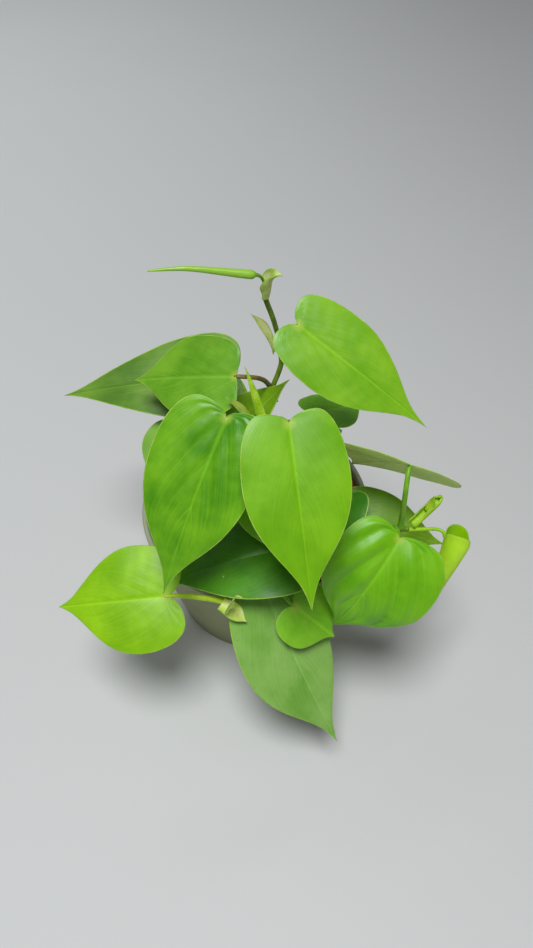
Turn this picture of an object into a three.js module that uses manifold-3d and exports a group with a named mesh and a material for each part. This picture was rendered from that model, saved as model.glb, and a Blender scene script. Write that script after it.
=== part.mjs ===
// A heartleaf philodendron growing in a red nursery pot that stands inside a plain grey-green cover pot.
// Millimetres, +Z up. The origin is on the table, under the middle of the pot. The plant leans to -Y.
import * as THREE from 'three';
import Module from 'manifold-3d';

// Pots and soil: heights above the table and outer radii.
const GAP = 0.3;
const COVER_POT = { height: 78, rimRadius: 60, footRadius: 47.4, wall: 2.6, floor: 3.4 };
const NURSERY_POT = { rimHeight: 76, rimRadius: 55.4, lipHeight: 6, footRadius: 39, wall: 1.2, floor: 1.6 };
const SOIL_TOP = 66;
const POT_SIDES = 48;

// Stems, stalks and blades.
const STEM_RADIUS = 1.25;
const STEM_FOOT = 50;
const STEM_SIDES = 8;
const STALK_RADIUS = 1.05;
const STALK_SIDES = 6;
const BLADE_THICKNESS = 0.7;
const SHEATH_THICKNESS = 0.6;
const UP = new THREE.Vector3(0, 0, 1);

// Where each stem leaves the soil and the points that it passes.
const STEMS = {
  stem_tall: [
    [-2, 14, 68], [0, 11, 100], [4, 6, 140], [8, 5, 157], [12.4, 8, 172], [9.4, 7, 192], [5.5, 5, 207],
  ],
  stem_middle: [[2, -10, 68], [4, -16, 105], [4, -20, 140], [2, -24, 164]],
  stem_right: [[28, -6, 68], [42, -20, 88], [58, -36, 108], [68.6, -45.5, 120.8]],
  stem_front: [[-8, -30, 68], [-10, -44, 82], [-12, -57, 91], [-13, -69, 96]],
  stem_left: [[-18, 6, 68], [-22, 8, 92], [-24, 4, 112]],
  stem_back: [[14, 20, 68], [20, 22, 88], [26, 20, 104]],
};

// One heart-shaped leaf: where its blade starts and its tip ends, the stem and height that its stalk grows
// from, and its form. Angles are in degrees, roll turns the blade about the line from base to tip, and the
// lengths lobe, widest, asym, sweep and wave are parts of the blade's length or half width.
const LEAF = {
  width: 40, roll: 0, bend: 14, curl: 0, curlFrom: 0.7, fold: 8, camber: 0.1, twist: 0, sweep: 0, asym: 0,
  lobe: 0.16, widest: 0.25, shoulder: 0.5, neck: 0.13, wave: 0, waves: 2.5, phase: 0,
  cup: 0, cupTip: 0, spiral: 0, steps: 15, rings: 3,
  along: 0.45, below: 0.9, rise: 0.5, reach: 0.4, stalk: STALK_RADIUS,
};
const LEAVES = {
  leaf_01: { base: [14, -45, 190], tip: [23, -97, 142], from: ['stem_middle', 156],
    width: 41, lobe: 0.06, widest: 0.3 },
  leaf_02: { base: [-9.3, -37.4, 184.6], tip: [-36, -82, 128], from: ['stem_middle', 144],
    width: 44, roll: -13, bend: 19, fold: 10, lobe: 0.06, widest: 0.24, shoulder: 0.57, asym: 0.05,
    sweep: 0.01 },
  leaf_03: { base: [62, -57, 131], tip: [36.5, -73.8, 83.6], from: ['stem_right', 114],
    width: 50, roll: -38, bend: 64, asym: -0.1, lobe: 0.06, widest: 0.29, shoulder: 0.62 },
  leaf_04: { base: [18, -8, 205], tip: [70, -31, 172], from: ['stem_tall', 174],
    width: 34, roll: 30, bend: 10, fold: 8, lobe: 0.08, widest: 0.26, neck: 0.1 },
  leaf_05: { base: [-7, -8, 178], tip: [-53, 6, 162], from: ['stem_tall', 157],
    width: 36, roll: -35, bend: 16, lobe: 0.03, widest: 0.34, along: 1, below: 0.2 },
  leaf_06: { base: [-9.5, 20, 152.5], tip: [-91, 18, 140], from: ['stem_tall', 120],
    width: 42, roll: -28, lobe: 0.05, widest: 0.13, shoulder: 0.35 },
  leaf_07: { base: [-30, 0, 128], tip: [-43, -21, 105], from: ['stem_left', 106],
    width: 44, roll: -10 },
  leaf_08: { base: [-14, -15, 143], tip: [15.5, -1, 169.5], from: ['stem_middle', 124],
    width: 29, bend: -10, fold: 10, shoulder: 0.3, asym: -0.2 },
  leaf_09: { base: [28.4, 4.7, 141.9], tip: [53, 17.8, 133.7], from: ['stem_tall', 130],
    width: 28, roll: -8, bend: 10, asym: 0.05 },
  leaf_10: { base: [65.9, -34.8, 152.8], tip: [49, 6, 103], from: ['stem_right', 117.5],
    width: 57, roll: 37, bend: 10, fold: 4, lobe: 0.07, widest: 0.13, stalk: 1.2, rise: 0.3 },
  leaf_11: { base: [42, -24.8, 101], tip: [92.5, -35.6, 92], from: ['stem_right', 92],
    width: 32, roll: 29, bend: 20, fold: 6, lobe: 0.05, asym: -0.09 },
  leaf_12: { base: [43.6, -25, 116], tip: [27.5, -50, 98.5], from: ['stem_back', 98],
    width: 26, roll: 12 },
  leaf_13: { base: [16, -51.4, 113.6], tip: [-40, -60, 96.5], from: ['stem_middle', 96],
    width: 43, roll: -9, bend: 36, widest: 0.1 },
  leaf_14: { base: [6, -27, 140], tip: [19, -64, 116], from: ['stem_middle', 112],
    width: 40 },
  leaf_15: { base: [6, -63, 92], tip: [40, -111, 34], from: ['stem_front', 88],
    width: 45, lobe: 0.1, widest: 0.3, asym: 0.12, sweep: 0.02, along: 1, below: 0.1, rise: 0.1 },
  leaf_16: { base: [18.6, -69, 92.2], tip: [37.5, -77.4, 78.2], from: ['stem_middle', 111],
    width: 31, roll: 22, shoulder: 0.7, along: 1, below: 0.2, rise: 0.2, reach: 0.3 },
  leaf_17: { base: [-39, -69, 102], tip: [-89, -69, 92], from: ['stem_front', 95.5],
    width: 48, roll: -30, bend: 24, fold: 4, lobe: 0.15, along: 1, below: 0.2, rise: 0.1, stalk: 1.25 },
  leaf_18: { base: [27, 27, 103], tip: [33, 57, 75], from: ['stem_back', 96], width: 36, bend: 30 },
  leaf_19: { base: [-28, 20, 106], tip: [-41, 47, 80], from: ['stem_left', 100], width: 36, bend: 30 },
  leaf_20: { base: [-1, 28, 105], tip: [-6, 56, 81], from: ['stem_back', 84], width: 26, bend: 30 },
  rolled_leaf: { base: [84, -50.6, 122.2], tip: [78, -69, 84], from: ['stem_right', 118.5],
    width: 31.5, roll: -98, bend: 0, lobe: 0.1, widest: 0.05, shoulder: 0, neck: 0.14, fold: 0, camber: 0,
    cup: 320, cupTip: 300, along: 1, below: 0.1, rise: 0, stalk: 0.85 },
};

// One sheath: a narrow strap that wraps its stem and ends in a point, given as a leaf is. Its foot is the
// width at the bottom and its cup the angle that it wraps there. Two of them end in a second horn.
const SHEATH = {
  ...LEAF, width: 8, foot: 0.8, widest: 0.3, bend: 10, fold: 0, camber: 0, cup: 120, cupTip: 60, steps: 8,
};
const SHEATHS = {
  sheath_1: { base: [6.7, 5, 208], tip: [12, 4.4, 218.4], width: 12, foot: 0.64, widest: 0.5, bend: -16,
    curl: 130, curlFrom: 0.42, cup: 320, cupTip: 90, steps: 10 },
  sheath_2: { base: [8.9, 4.2, 180.2], tip: [-0.7, 8, 197.6], width: 5.6, foot: 0.6, widest: 0.6, cup: 90,
    cupTip: 50, bend: 44 },
  sheath_3: { base: [5.1, -19.7, 156], tip: [-3.2, -8, 184.5], width: 5, foot: 1, widest: 0.2 },
  sheath_4: { base: [-0.2, -19.2, 160.8], tip: [-10.4, -20.1, 178], width: 7, widest: 0.4, cup: 100 },
  sheath_5: { base: [71, -43.9, 121.2], tip: [80.8, -37.6, 132.8], width: 11, foot: 1, widest: 0.6, bend: -10,
    curl: -230, curlFrom: 0.66, cup: 300, cupTip: 280, steps: 11,
    horn: { base: [76.2, -40.6, 127.6], tip: [78.8, -38.8, 136.6], width: 4, cup: 60, roll: 180, bend: 20,
      steps: 5 } },
  sheath_6: { base: [-14.8, -70.6, 97.4], tip: [-3, -77, 93], width: 10, foot: 0.8, widest: 0.4, cup: 150,
    cupTip: 60, horn: { base: [-11.4, -74.8, 98], tip: [-3.8, -78.7, 118.2], width: 6, cup: 80, bend: 0,
      curl: 100, steps: 6 } },
};

// The newest leaf, rolled tight: the points of its stalk inside the top sheath and of its body, with radii.
const SPEAR = [
  { at: [5.4, 4.8, 207.6], radius: 0.6 }, { at: [5.4, 4.8, 213], radius: 0.6 },
  { at: [3.9, 4, 218], radius: 0.6 }, { at: [1.6, 0.6, 221.9], radius: 0.8 },
  { at: [0.4, -0.5, 222.7], radius: 1.7 }, { at: [-3.6, -0.9, 223.5], radius: 1.75 },
  { at: [-11.4, -1.6, 225], radius: 1.5 }, { at: [-19.2, -2.4, 226.5], radius: 1.2 },
  { at: [-24.4, -3, 227.2], radius: 1 }, { at: [-29, -3.6, 227.4], radius: 0.75 },
  { at: [-32.6, -4.2, 227.5], radius: 0.6 }, { at: [-37.2, -5, 227.5], radius: 0.25 },
];

const wasm = await Module();
wasm.setup();

// The surface normals of a triangle mesh at its points, each the mean of the faces round it.
function pointNormals(points, triangles) {
  const normals = points.map(() => new THREE.Vector3());
  for (const [a, b, c] of triangles) {
    const face = points[b].clone().sub(points[a]).cross(points[c].clone().sub(points[a]));
    for (const i of [a, b, c]) {
      normals[i].add(face);
    }
  }
  return normals.map((normal) => normal.normalize());
}

// A closed triangle mesh as a solid, turned right side out.
function solid(points, triangles) {
  let sixVolumes = 0;
  for (const [a, b, c] of triangles) {
    sixVolumes += points[a].dot(points[b].clone().cross(points[c]));
  }
  const facing = sixVolumes > 0 ? triangles : triangles.map(([a, b, c]) => [a, c, b]);
  const vertProperties = new Float32Array(points.flatMap((p) => [p.x, p.y, p.z]));
  const triVerts = new Uint32Array(facing.flat());
  return new wasm.Manifold(new wasm.Mesh({ numProp: 3, vertProperties, triVerts }));
}

// A solid of revolution about Z from a closed profile of [radius, height] points, none on the axis,
// or with its first and last point on the axis.
function turned(profile, sides = POT_SIDES) {
  const points = [];
  const rings = profile.map(([radius, height]) => {
    const start = points.length;
    const count = radius < 1e-6 ? 1 : sides;
    for (let i = 0; i < count; i++) {
      const angle = (2 * Math.PI * i) / sides;
      points.push(new THREE.Vector3(radius * Math.cos(angle), radius * Math.sin(angle), height));
    }
    return { start, count };
  });
  const triangles = [];
  const onAxis = rings[0].count === 1;
  const last = onAxis ? rings.length - 1 : rings.length;
  for (let k = 0; k < last; k++) {
    const low = rings[k];
    const high = rings[(k + 1) % rings.length];
    for (let i = 0; i < sides; i++) {
      const next = (i + 1) % sides;
      const a = low.start + (i % low.count);
      const b = low.start + (next % low.count);
      const c = high.start + (next % high.count);
      const d = high.start + (i % high.count);
      if (a !== b) triangles.push([a, b, c]);
      if (c !== d) triangles.push([a, c, d]);
    }
  }
  return solid(points, triangles);
}

// A round bar along a list of points, with a radius for each of them and flat ends.
function bar(path, radii, sides) {
  const points = [];
  const triangles = [];
  let side = new THREE.Vector3(0.91, 0.42, 0.02);
  path.forEach((centre, k) => {
    const before = path[Math.max(k - 1, 0)];
    const after = path[Math.min(k + 1, path.length - 1)];
    const ahead = after.clone().sub(before).normalize();
    side = side.clone().addScaledVector(ahead, -side.dot(ahead)).normalize();
    const across = ahead.clone().cross(side);
    for (let i = 0; i < sides; i++) {
      const angle = (2 * Math.PI * i) / sides;
      points.push(centre.clone()
        .addScaledVector(side, radii[k] * Math.cos(angle))
        .addScaledVector(across, radii[k] * Math.sin(angle)));
    }
  });
  const lastRing = (path.length - 1) * sides;
  for (let i = 0; i < sides; i++) {
    const next = (i + 1) % sides;
    for (let k = 0; k < lastRing; k += sides) {
      triangles.push([k + i, k + next, k + sides + next], [k + i, k + sides + next, k + sides + i]);
    }
    if (i > 0 && i < sides - 1) {
      triangles.push([0, i + 1, i], [lastRing, lastRing + i, lastRing + i + 1]);
    }
  }
  return solid(points, triangles);
}

// The line along a stem, from its foot in the soil to its top.
function stemCurve(name) {
  const [first, ...rest] = STEMS[name].map((p) => new THREE.Vector3(...p));
  const foot = first.clone().setZ(STEM_FOOT);
  return new THREE.CatmullRomCurve3([foot, first, ...rest]);
}

const STEM_CURVES = Object.fromEntries(Object.keys(STEMS).map((name) => [name, stemCurve(name)]));

// A stem, or with room above 0 the space that its neighbours keep clear round it.
function stem(name, room = 0) {
  const curve = STEM_CURVES[name];
  const count = Math.round(curve.getLength() / 6);
  const path = curve.getSpacedPoints(count);
  path[0].z -= room;
  const end = curve.getTangent(1);
  path[count].addScaledVector(end, room);
  const radii = path.map((p, k) => STEM_RADIUS * (1.1 - (0.25 * k) / count) + room);
  return bar(path, radii, STEM_SIDES);
}

// The point of a stem's middle line at a height, at the first place that reaches it.
function stemPoint(name, height) {
  const points = STEM_CURVES[name].getSpacedPoints(400);
  return points.find((p) => p.z >= height) ?? points[points.length - 1];
}

// The right half of a heart-shaped outline, from the notch to the tip, for a blade of length 1.
function heartOutline(half, leaf) {
  const { lobe, widest, shoulder, neck } = leaf;
  const neckAt = 0.87;
  const path = new THREE.Path();
  path.moveTo(0, 0);
  path.bezierCurveTo(0.05 * half, -0.6 * lobe, 0.22 * half, -lobe, 0.5 * half, -lobe);
  path.bezierCurveTo(0.8 * half, -lobe, half, widest - 0.55 * (widest + lobe), half, widest);
  path.bezierCurveTo(half, widest + shoulder * (neckAt - widest),
    3 * neck * half, neckAt - 0.17, neck * half, neckAt);
  path.bezierCurveTo(0.45 * neck * half, neckAt + 0.055, 0.15 * neck * half, 0.97, 0, 1);
  return path.getSpacedPoints(leaf.steps);
}

// The right half of a sheath's outline: a strap that narrows to a pointed tip.
function strapOutline(half, leaf) {
  const path = new THREE.Path();
  path.moveTo(leaf.foot * half, 0);
  path.bezierCurveTo(leaf.foot * half, 0.5 * leaf.widest, half, 0.6 * leaf.widest, half, leaf.widest);
  path.bezierCurveTo(half, leaf.widest + 0.45 * (1 - leaf.widest), 0.2 * half, 0.85, 0, 1);
  return path.getSpacedPoints(leaf.steps);
}

// The middle line of a blade seen from the side, scaled so that it ends at [1, 0]. It bends evenly, and
// its last part, past curlFrom, curls further. Each sample holds the place along, the height and the slope.
function midribProfile(leaf) {
  const bend = THREE.MathUtils.degToRad(leaf.bend);
  const curl = THREE.MathUtils.degToRad(leaf.curl);
  const { curlFrom } = leaf;
  const count = 200;
  const samples = [{ along: 0, height: 0, slope: 0 }];
  for (let i = 1; i <= count; i++) {
    const at = i / count;
    const slope = -(bend * at + curl * Math.max((at - curlFrom) / (1 - curlFrom), 0) ** 2);
    const last = samples[i - 1];
    const mean = (slope + last.slope) / 2;
    const along = last.along + Math.cos(mean) / count;
    const height = last.height + Math.sin(mean) / count;
    samples.push({ along, height, slope });
  }
  const end = samples[count];
  const chord = Math.hypot(end.along, end.height);
  const turn = Math.atan2(end.height, end.along);
  return samples.map(({ along, height, slope }) => ({
    along: (along * Math.cos(turn) + height * Math.sin(turn)) / chord,
    height: (height * Math.cos(turn) - along * Math.sin(turn)) / chord,
    slope: slope - turn,
  }));
}

// The middle surface of a blade: a function from [across, along] in parts of its length to a point.
function bladeSurface(leaf) {
  const base = new THREE.Vector3(...leaf.base);
  const ahead = new THREE.Vector3(...leaf.tip).sub(base);
  const length = ahead.length();
  ahead.normalize();
  const level = UP.clone().addScaledVector(ahead, -ahead.z).normalize();
  const flat = ahead.clone().cross(level);
  const roll = THREE.MathUtils.degToRad(leaf.roll);
  const normal = level.multiplyScalar(Math.cos(roll)).addScaledVector(flat, Math.sin(roll));
  const side = ahead.clone().cross(normal);
  const half = leaf.width / 2 / length;
  const profile = midribProfile(leaf);
  const fold = Math.tan(THREE.MathUtils.degToRad(leaf.fold));
  const outline = (leaf.foot === undefined ? heartOutline : strapOutline)(half, { ...leaf, steps: 80 });
  const widestAt = outline.reduce((best, p, i) => (p.x > outline[best].x ? i : best), 0);

  function halfWidth(along) {
    const past = outline.findIndex((p, i) => i > widestAt && p.y > along);
    if (past < 0 || along < outline[widestAt].y) return past < 0 ? 0 : half;
    const [a, b] = [outline[past - 1], outline[past]];
    return a.x + ((b.x - a.x) * (along - a.y)) / (b.y - a.y);
  }

  function point(acrossIn, along) {
    let across = acrossIn * (1 + leaf.asym * Math.sign(acrossIn));
    const part = THREE.MathUtils.clamp(along, 0, 1);
    const out = Math.hypot(across, 0.03 * half) - 0.03 * half;
    let height = out * fold * (1 - 0.6 * part) - (leaf.camber * across * across) / half;
    const ripple = Math.sin(2 * Math.PI * (leaf.waves * along + leaf.phase) + 0.8 * Math.sign(across));
    height += leaf.wave * ripple * (across / half) ** 2 * half;
    if (leaf.cup) {
      const cup = THREE.MathUtils.degToRad(leaf.cup + (leaf.cupTip - leaf.cup) * part);
      const tightness = cup / (2 * Math.max(halfWidth(part), 0.08 * half));
      const angle = tightness * across;
      const radius = (1 + leaf.spiral * angle) / tightness;
      across = radius * Math.sin(angle);
      height += 1 / tightness - radius * Math.cos(angle);
    }
    const twist = THREE.MathUtils.degToRad(leaf.twist) * (along - 0.3);
    const right = across * Math.cos(twist) - height * Math.sin(twist) + leaf.sweep * 4 * part * (1 - part);
    const lift = across * Math.sin(twist) + height * Math.cos(twist);
    const place = part * (profile.length - 1);
    const low = Math.min(Math.floor(place), profile.length - 2);
    const mix = (key) => profile[low][key] + (profile[low + 1][key] - profile[low][key]) * (place - low);
    const slope = mix('slope');
    const behind = Math.min(along, 0) / Math.hypot(profile[1].along, profile[1].height) / (profile.length - 1);
    const forward = mix('along') + behind * Math.cos(slope) - lift * Math.sin(slope);
    const high = mix('height') + behind * Math.sin(slope) + lift * Math.cos(slope);
    return base.clone()
      .addScaledVector(side, length * right)
      .addScaledVector(ahead, length * forward)
      .addScaledVector(normal, length * high);
  }
  return { point, half, length };
}

// A thin blade: its middle surface as a net of points, thickened to both sides and closed round its edge.
function blade(leaf, thickness) {
  const { point, half } = bladeSurface(leaf);
  const isHeart = leaf.foot === undefined;
  const rows = (isHeart ? heartOutline : strapOutline)(half, leaf).slice(isHeart ? 1 : 0);
  const points = [];
  const known = new Map();
  const columns = 2 * leaf.rings;
  const net = rows.map((edge) => Array.from({ length: columns + 1 }, (_, k) => {
    const part = k / leaf.rings - 1;
    const across = edge.x * part;
    const along = edge.y < 0 ? edge.y * Math.abs(part) : edge.y;
    const key = across.toFixed(6) + ' ' + along.toFixed(6);
    if (!known.has(key)) {
      known.set(key, points.length);
      points.push(point(across, along));
    }
    return known.get(key);
  }));
  const face = [];
  for (let j = 0; j + 1 < net.length; j++) {
    for (let i = 0; i < columns; i++) {
      const [a, b, c, d] = [net[j][i], net[j][i + 1], net[j + 1][i + 1], net[j + 1][i]];
      const halves = i < leaf.rings ? [[a, b, c], [a, c, d]] : [[a, b, d], [b, c, d]];
      face.push(...halves.filter((t) => new Set(t).size === 3));
    }
  }
  const normals = pointNormals(points, face);
  const shift = (amount) => points.map((p, i) => p.clone().addScaledVector(normals[i], amount));
  const count = points.length;
  const edges = new Map();
  for (const [a, b, c] of face) {
    for (const [from, to] of [[a, b], [b, c], [c, a]]) {
      if (!edges.delete(to + ' ' + from)) edges.set(from + ' ' + to, [from, to]);
    }
  }
  const rim = [...edges.values()].flatMap(([from, to]) => [
    [from, from + count, to + count],
    [from, to + count, to],
  ]);
  const under = face.map(([a, b, c]) => [a + count, c + count, b + count]);
  return solid([...shift(thickness / 2), ...shift(-thickness / 2)], [...face, ...under, ...rim]);
}

// The stalk that carries a blade: it leaves its stem upwards and meets the blade from below.
function stalk(leaf) {
  const { point } = bladeSurface(leaf);
  const foot = stemPoint(...leaf.from);
  const top = point(0, 0.012);
  const ahead = point(0, 0.05).sub(point(0, 0)).normalize();
  const side = point(0.05, 0.05).sub(point(-0.05, 0.05)).normalize();
  const normal = side.clone().cross(ahead);
  const arrival = ahead.clone().multiplyScalar(leaf.along).addScaledVector(normal, leaf.below).normalize();
  const far = top.distanceTo(foot) * leaf.reach;
  const leave = top.clone().sub(foot).normalize().multiplyScalar(1 - leaf.rise).addScaledVector(UP, leaf.rise);
  const curve = new THREE.CubicBezierCurve3(foot, foot.clone().addScaledVector(leave, far),
    top.clone().addScaledVector(arrival, -far), top);
  const count = Math.max(6, Math.round(curve.getLength() / 5));
  const path = curve.getSpacedPoints(count);
  return bar(path, path.map((p, k) => leaf.stalk * (1.15 - (0.3 * k) / count)), STALK_SIDES);
}

// A leaf is one grown piece: the blade and its stalk, seated a hair off the stem.
function leafSolid(shape) {
  const leaf = { ...LEAF, ...shape };
  return blade(leaf, BLADE_THICKNESS).add(stalk(leaf)).subtract(stem(leaf.from[0], GAP));
}

// A sheath is one grown piece: its strap and, where it has one, the horn beside it.
function sheathSolid(shape) {
  const body = blade({ ...SHEATH, ...shape }, SHEATH_THICKNESS);
  return shape.horn ? body.add(blade({ ...SHEATH, ...shape.horn }, SHEATH_THICKNESS)) : body;
}

function spearLeaf() {
  const path = SPEAR.map(({ at }) => new THREE.Vector3(...at));
  return bar(path, SPEAR.map(({ radius }) => radius), STEM_SIDES);
}

function coverPot() {
  const { height, rimRadius, footRadius, wall, floor } = COVER_POT;
  const radiusAt = (z) => footRadius + ((rimRadius - footRadius) * z) / height;
  return turned([
    [0, 0], [footRadius - 1.5, 0], [radiusAt(1.5), 1.5], [rimRadius, height - 0.8],
    [rimRadius - 0.8, height], [rimRadius - wall + 0.8, height], [rimRadius - wall, height - 0.8],
    [radiusAt(floor) - wall, floor], [0, floor],
  ]);
}

const NURSERY_FOOT = COVER_POT.floor + GAP;
const nurseryRadius = (z) => {
  const { rimHeight, lipHeight, rimRadius, footRadius } = NURSERY_POT;
  const under = rimHeight - lipHeight;
  return footRadius + ((rimRadius - 1.6 - footRadius) * (z - NURSERY_FOOT)) / (under - NURSERY_FOOT);
};

function nurseryPot() {
  const { rimHeight, rimRadius, lipHeight, wall, floor } = NURSERY_POT;
  const under = rimHeight - lipHeight;
  return turned([
    [0, NURSERY_FOOT], [nurseryRadius(NURSERY_FOOT), NURSERY_FOOT], [nurseryRadius(under), under],
    [rimRadius, under], [rimRadius, rimHeight], [rimRadius - wall - 0.4, rimHeight],
    [nurseryRadius(under) - wall, under], [nurseryRadius(NURSERY_FOOT + floor) - wall, NURSERY_FOOT + floor],
    [0, NURSERY_FOOT + floor],
  ]);
}

function soil() {
  const low = NURSERY_FOOT + NURSERY_POT.floor + GAP;
  const inside = (z) => nurseryRadius(z) - NURSERY_POT.wall - GAP;
  let body = turned([[0, low], [inside(low), low], [inside(SOIL_TOP), SOIL_TOP], [0, SOIL_TOP]]);
  for (const name of Object.keys(STEMS)) {
    body = body.subtract(stem(name, GAP));
  }
  return body;
}

const MATERIALS = {
  cover: { color: 0x767d63, roughness: 0.55, metalness: 0 },
  nursery: { color: 0x9c3a26, roughness: 0.6, metalness: 0 },
  soil: { color: 0x3b2b20, roughness: 1, metalness: 0 },
  stem: { color: 0x4a6b1c, roughness: 0.6, metalness: 0 },
  leaf: { color: 0x4f9a1c, roughness: 0.4, metalness: 0 },
  sheath: { color: 0x9cba4a, roughness: 0.5, metalness: 0 },
};

const plant = new THREE.Group();

// Adds a solid to the plant as a named mesh.
function place(name, body, material) {
  const mesh = body.getMesh();
  const points = new Float32Array(mesh.numVert * 3);
  for (let i = 0; i < mesh.numVert; i++) {
    points.set(mesh.vertProperties.subarray(i * mesh.numProp, i * mesh.numProp + 3), i * 3);
  }
  const geometry = new THREE.BufferGeometry();
  geometry.setAttribute('position', new THREE.BufferAttribute(points, 3));
  geometry.setIndex(new THREE.BufferAttribute(mesh.triVerts, 1));
  geometry.computeVertexNormals();
  const node = new THREE.Mesh(geometry, new THREE.MeshStandardMaterial(MATERIALS[material]));
  node.name = name;
  plant.add(node);
}

place('cover_pot', coverPot(), 'cover');
place('nursery_pot', nurseryPot(), 'nursery');
place('soil', soil(), 'soil');
for (const name of Object.keys(STEMS)) {
  place(name, stem(name), 'stem');
}
for (const [name, shape] of Object.entries(LEAVES)) {
  place(name, leafSolid(shape), 'leaf');
}
place('spear_leaf', spearLeaf(), 'leaf');
for (const [name, shape] of Object.entries(SHEATHS)) {
  place(name, sheathSolid(shape), 'sheath');
}

export default plant;
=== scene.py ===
# A heartleaf philodendron in a red nursery pot that stands inside a plain grey-green cover pot.
# Lengths are in millimetres until a mesh is made, which is in metres. The plant leans to -Y.
import math

import bpy
import numpy as np
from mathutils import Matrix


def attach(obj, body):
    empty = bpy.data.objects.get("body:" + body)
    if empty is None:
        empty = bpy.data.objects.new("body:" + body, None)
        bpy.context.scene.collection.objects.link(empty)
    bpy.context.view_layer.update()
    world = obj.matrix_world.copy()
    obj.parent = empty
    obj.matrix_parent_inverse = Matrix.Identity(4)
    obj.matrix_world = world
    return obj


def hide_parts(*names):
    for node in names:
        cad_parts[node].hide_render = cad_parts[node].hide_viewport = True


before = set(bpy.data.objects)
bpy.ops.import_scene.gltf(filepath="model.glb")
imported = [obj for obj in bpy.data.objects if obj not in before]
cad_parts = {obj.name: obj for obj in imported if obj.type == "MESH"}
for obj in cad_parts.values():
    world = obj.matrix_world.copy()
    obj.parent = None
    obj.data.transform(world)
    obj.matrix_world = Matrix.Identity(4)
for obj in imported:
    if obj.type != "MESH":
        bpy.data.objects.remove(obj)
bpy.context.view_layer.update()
METRES = 0.001
rng = np.random.default_rng(11)

# Pots and soil: heights above the table and outer radii.
GAP = 0.3
COVER_HEIGHT = 78
COVER_RIM_RADIUS = 60
COVER_FOOT_RADIUS = 47.4
COVER_WALL = 2.6
COVER_FLOOR = 3.4
COVER_FOOT_ROUND = 1.5
NURSERY_RIM_HEIGHT = 76
NURSERY_RIM_RADIUS = 55.4
NURSERY_LIP_HEIGHT = 6
NURSERY_LIP_STEP = 1.6
NURSERY_LIP_ROUND = 0.8
NURSERY_FOOT_RADIUS = 39
NURSERY_WALL = 1.2
NURSERY_FLOOR = 1.6
NURSERY_FOOT = COVER_FLOOR + GAP
SOIL_TOP = 66
SOIL_SINK = 4.2
SOIL_RINGS = 66
POT_SIDES = 160

# What lies on the soil: the number of its material, how many, their smallest and largest size, how flat.
SOIL_LUMPS = [(1, 210, 1.3, 3.4, 0.4), (0, 260, 0.7, 1.8, 0.7), (2, 90, 0.7, 1.7, 0.8)]

# Stems, stalks and blades.
STEM_RADIUS = 1.25
STEM_FOOT = 50
STEM_SIDES = 14
STALK_RADIUS = 1.05
STALK_SIDES = 12
BLADE_THICKNESS = 0.5
SHEATH_THICKNESS = 0.4
MARGIN_WIDTH = 0.35
BLADE_ROWS = 64
SHEATH_ROWS = 26
SPEAR_SIDES = 32
MIDRIB_STEPS = 200
CURVE_STEPS = 80

# A bar ends in a low dome: how far it stands out and how wide its end is, in parts of the bar's radius.
DOME_RISE = 0.4
DOME_RADIUS = 0.6

# Short roots at the stem nodes below a height.
ROOTS_BELOW = 170
ROOT_RADIUS = 0.55
ROOT_STEPS = 6
ROOT_SIDES = 8

# Where each stem leaves the soil and the points that it passes.
STEMS = {
    "stem_tall": [
        (-2, 14, 68), (0, 11, 100), (4, 6, 140), (8, 5, 157), (12.4, 8, 172), (9.4, 7, 192), (5.5, 5, 207),
    ],
    "stem_middle": [(2, -10, 68), (4, -16, 105), (4, -20, 140), (2, -24, 164)],
    "stem_right": [(28, -6, 68), (42, -20, 88), (58, -36, 108), (68.6, -45.5, 120.8)],
    "stem_front": [(-8, -30, 68), (-10, -44, 82), (-12, -57, 91), (-13, -69, 96)],
    "stem_left": [(-18, 6, 68), (-22, 8, 92), (-24, 4, 112)],
    "stem_back": [(14, 20, 68), (20, 22, 88), (26, 20, 104)],
}

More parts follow.
